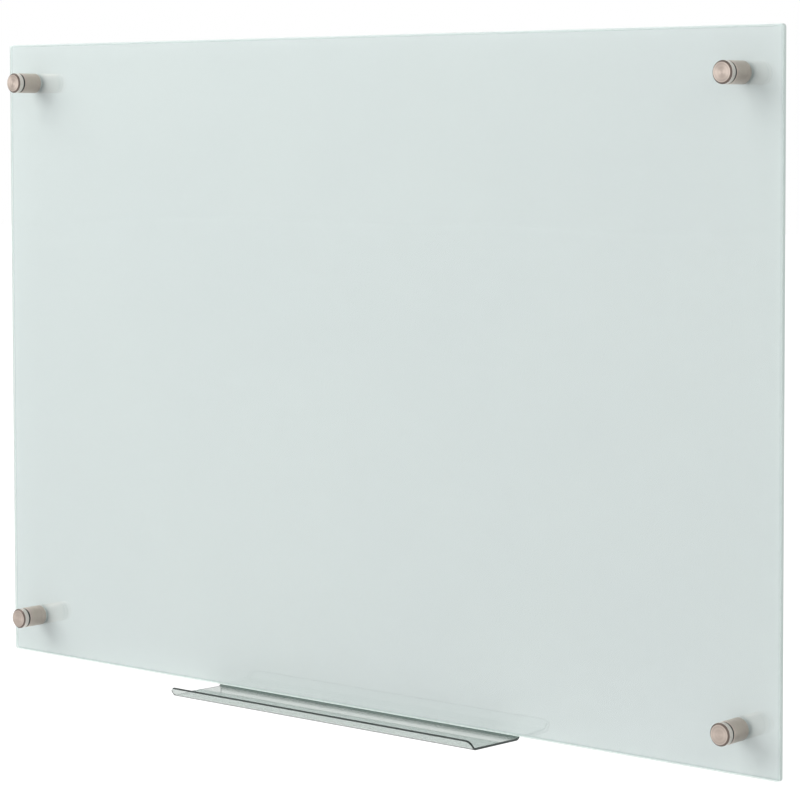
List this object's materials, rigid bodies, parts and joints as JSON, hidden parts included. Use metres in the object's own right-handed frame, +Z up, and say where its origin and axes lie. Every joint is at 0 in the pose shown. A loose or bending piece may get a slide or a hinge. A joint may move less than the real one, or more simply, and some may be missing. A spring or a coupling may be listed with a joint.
{
  "type": "magnetic glass board",
  "caption": "Wall-mounted magnetic glass writing board on standoffs at its corners, with screw-off caps and a clear bent pen tray below.",
  "frame": {"origin": "middle of the four wall fixings, in the wall plane", "axes": "+X along the board's width to the right as seen from the room, +Y into the wall, +Z up; the writing face looks along -Y"},
  "size_m": [0.9, 0.1093, 0.6065],
  "materials": {
    "float_glass": "polished float glass with a pale green edge",
    "white_enamel": "smooth white enamel seen through the glass",
    "adhesive": "thin bonding film",
    "galvanised_sheet": "galvanised sheet, dull",
    "clear_acrylic": "clear bent sheet with dark polished edges",
    "satin_steel": "satin stainless steel, turned",
    "turned_steel": "stainless steel with turned concentric marks on its face",
    "black_rubber": "matt black",
    "clear_rubber": "soft translucent washer",
    "nylon_white": "natural nylon",
    "nylon_grey": "moulded grey nylon",
    "zinc_steel": "zinc plated steel"
  },
  "bodies": {
    "board": {"glass_panel": "float_glass", "white_enamel": "white_enamel", "adhesive_film": "adhesive", "steel_sheet": "galvanised_sheet", "pen_tray": "clear_acrylic", "wall_plug_tl": "nylon_grey", "wall_screw_tl": "zinc_steel", "wall_spacer_tl": "satin_steel", "rear_washer_tl": "clear_rubber", "glass_bush_tl": "nylon_white", "front_washer_tl": "clear_rubber", "standoff_barrel_tl": "satin_steel", "wall_plug_tr": "nylon_grey", "wall_screw_tr": "zinc_steel", "wall_spacer_tr": "satin_steel", "rear_washer_tr": "clear_rubber", "glass_bush_tr": "nylon_white", "front_washer_tr": "clear_rubber", "standoff_barrel_tr": "satin_steel", "wall_plug_bl": "nylon_grey", "wall_screw_bl": "zinc_steel", "wall_spacer_bl": "satin_steel", "rear_washer_bl": "clear_rubber", "glass_bush_bl": "nylon_white", "front_washer_bl": "clear_rubber", "standoff_barrel_bl": "satin_steel", "wall_plug_br": "nylon_grey", "wall_screw_br": "zinc_steel", "wall_spacer_br": "satin_steel", "rear_washer_br": "clear_rubber", "glass_bush_br": "nylon_white", "front_washer_br": "clear_rubber", "standoff_barrel_br": "satin_steel", "tray_plug_left": "nylon_grey", "tray_washer_left": "nylon_white", "tray_screw_left": "zinc_steel", "tray_plug_right": "nylon_grey", "tray_washer_right": "nylon_white", "tray_screw_right": "zinc_steel"},
    "ring_tl": {"cap_ring_tl": "black_rubber"},
    "cap_tl": {"standoff_cap_tl": "turned_steel"},
    "ring_tr": {"cap_ring_tr": "black_rubber"},
    "cap_tr": {"standoff_cap_tr": "turned_steel"},
    "ring_bl": {"cap_ring_bl": "black_rubber"},
    "cap_bl": {"standoff_cap_bl": "turned_steel"},
    "ring_br": {"cap_ring_br": "black_rubber"},
    "cap_br": {"standoff_cap_br": "turned_steel"}
  },
  "joints": [
    {"name": "cap_travel_tl", "type": "slide", "parent": "board", "child": "ring_tl", "axis": [0, -1, 0], "range_m": [0, 0.008]},
    {"name": "cap_turn_tl", "type": "hinge", "parent": "ring_tl", "child": "cap_tl", "pos_m": [-0.412, -0.0413, 0.262], "axis": [0, -1, 0], "range_deg": [0, 2880]},
    {"name": "cap_travel_tr", "type": "slide", "parent": "board", "child": "ring_tr", "axis": [0, -1, 0], "range_m": [0, 0.008]},
    {"name": "cap_turn_tr", "type": "hinge", "parent": "ring_tr", "child": "cap_tr", "pos_m": [0.412, -0.0413, 0.262], "axis": [0, -1, 0], "range_deg": [0, 2880]},
    {"name": "cap_travel_bl", "type": "slide", "parent": "board", "child": "ring_bl", "axis": [0, -1, 0], "range_m": [0, 0.008]},
    {"name": "cap_turn_bl", "type": "hinge", "parent": "ring_bl", "child": "cap_bl", "pos_m": [-0.412, -0.0413, -0.262], "axis": [0, -1, 0], "range_deg": [0, 2880]},
    {"name": "cap_travel_br", "type": "slide", "parent": "board", "child": "ring_br", "axis": [0, -1, 0], "range_m": [0, 0.008]},
    {"name": "cap_turn_br", "type": "hinge", "parent": "ring_br", "child": "cap_br", "pos_m": [0.412, -0.0413, -0.262], "axis": [0, -1, 0], "range_deg": [0, 2880]}
  ],
  "couplings": [
    {"joint": "cap_travel_tl", "follows": "cap_turn_tl", "m_per_rad": 0.00015915},
    {"joint": "cap_travel_tr", "follows": "cap_turn_tr", "m_per_rad": 0.00015915},
    {"joint": "cap_travel_bl", "follows": "cap_turn_bl", "m_per_rad": 0.00015915},
    {"joint": "cap_travel_br", "follows": "cap_turn_br", "m_per_rad": 0.00015915}
  ]
}
